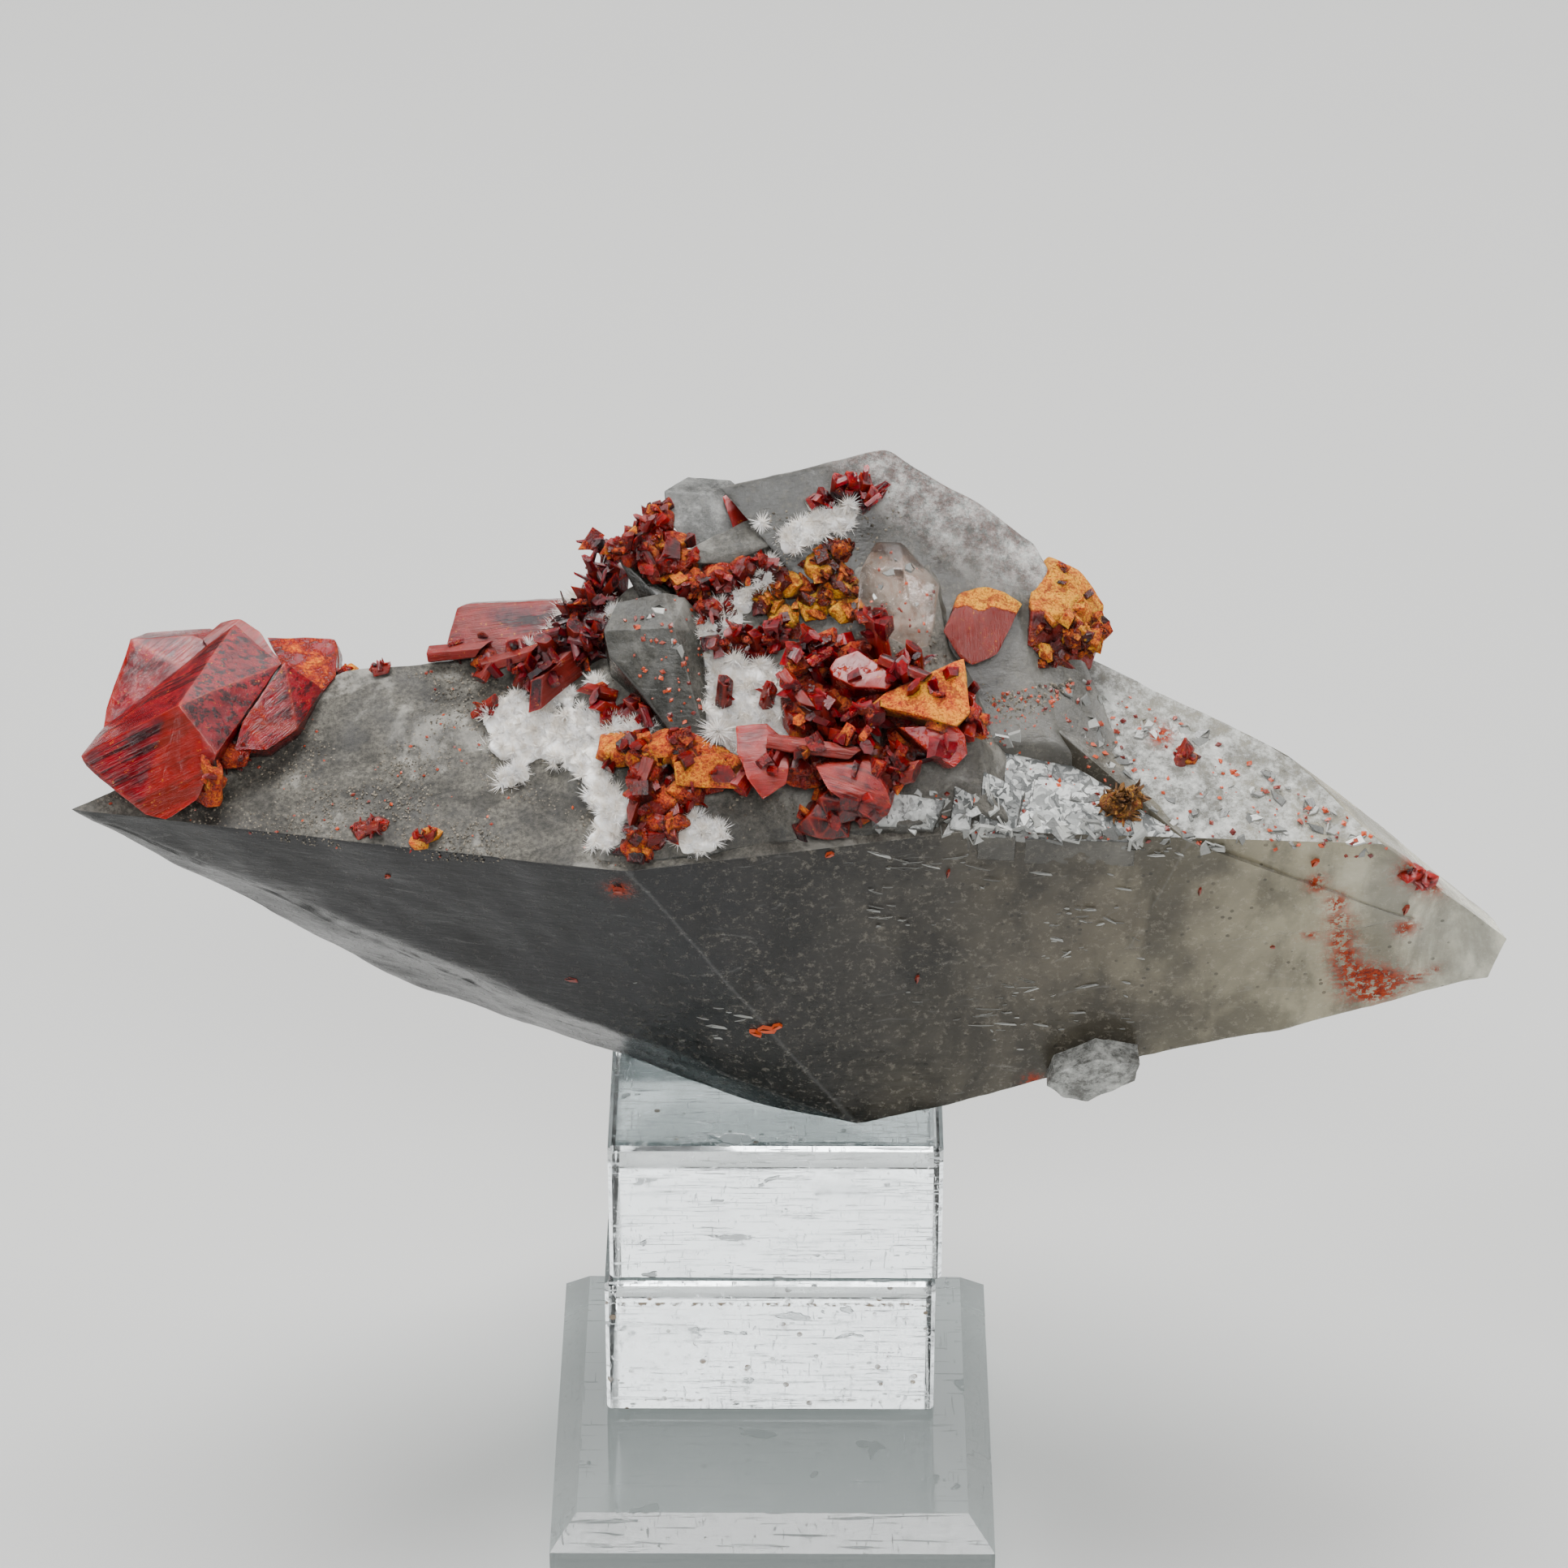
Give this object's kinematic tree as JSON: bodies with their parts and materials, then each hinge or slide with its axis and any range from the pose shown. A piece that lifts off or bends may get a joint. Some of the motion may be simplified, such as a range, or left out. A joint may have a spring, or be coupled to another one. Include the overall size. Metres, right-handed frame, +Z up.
{
  "type": "realgar on smoky quartz mineral specimen on an acrylic stand",
  "caption": "Red realgar crystals and white needle crusts on a two-ended smoky quartz crystal, resting on a stack of clear square blocks.",
  "frame": {"origin": "middle of the base plate's underside", "axes": "+X to the right along the long quartz crystal, +Y to the back, +Z up"},
  "size_m": [0.1251, 0.0544, 0.1014],
  "materials": {
    "acrylic": "clear polished acrylic with fine scratches",
    "smoky_quartz": "translucent smoky to greyish yellow quartz, glassy below and sandy on top",
    "realgar_glassy": "deep red, glassy, finely grooved crystal faces",
    "realgar_powdered": "red crystals dusted with orange and yellow powder",
    "ochre": "dull brown-yellow crumbs",
    "white_needles": "white to cream mats of fine needles"
  },
  "bodies": {
    "root": {"base_plate": "acrylic", "lower_block": "acrylic", "upper_block": "acrylic", "quartz": "smoky_quartz", "realgar_left": "realgar_glassy", "realgar_back": "realgar_glassy", "realgar_spiky": "realgar_glassy", "realgar_row": "realgar_glassy", "realgar_chips": "realgar_glassy", "realgar_top": "realgar_glassy", "realgar_deep": "realgar_glassy", "crest_chip": "realgar_glassy", "left_face_chips": "realgar_glassy", "lower_face_chips": "realgar_glassy", "shoulder_chips": "realgar_glassy", "tip_patch": "realgar_glassy", "crust_crystal_left": "realgar_glassy", "crust_edge_crystal": "realgar_glassy", "realgar_middle": "realgar_powdered", "realgar_patch": "realgar_powdered", "realgar_right_low": "realgar_powdered", "realgar_right_high": "realgar_powdered", "realgar_ridge": "realgar_powdered", "realgar_band": "realgar_powdered", "ochre_clump": "ochre", "white_crust_left": "white_needles", "white_crust_middle": "white_needles", "white_crust_strip": "white_needles", "white_crust_top": "white_needles", "white_crust_low": "white_needles"}
  },
  "joints": []
}
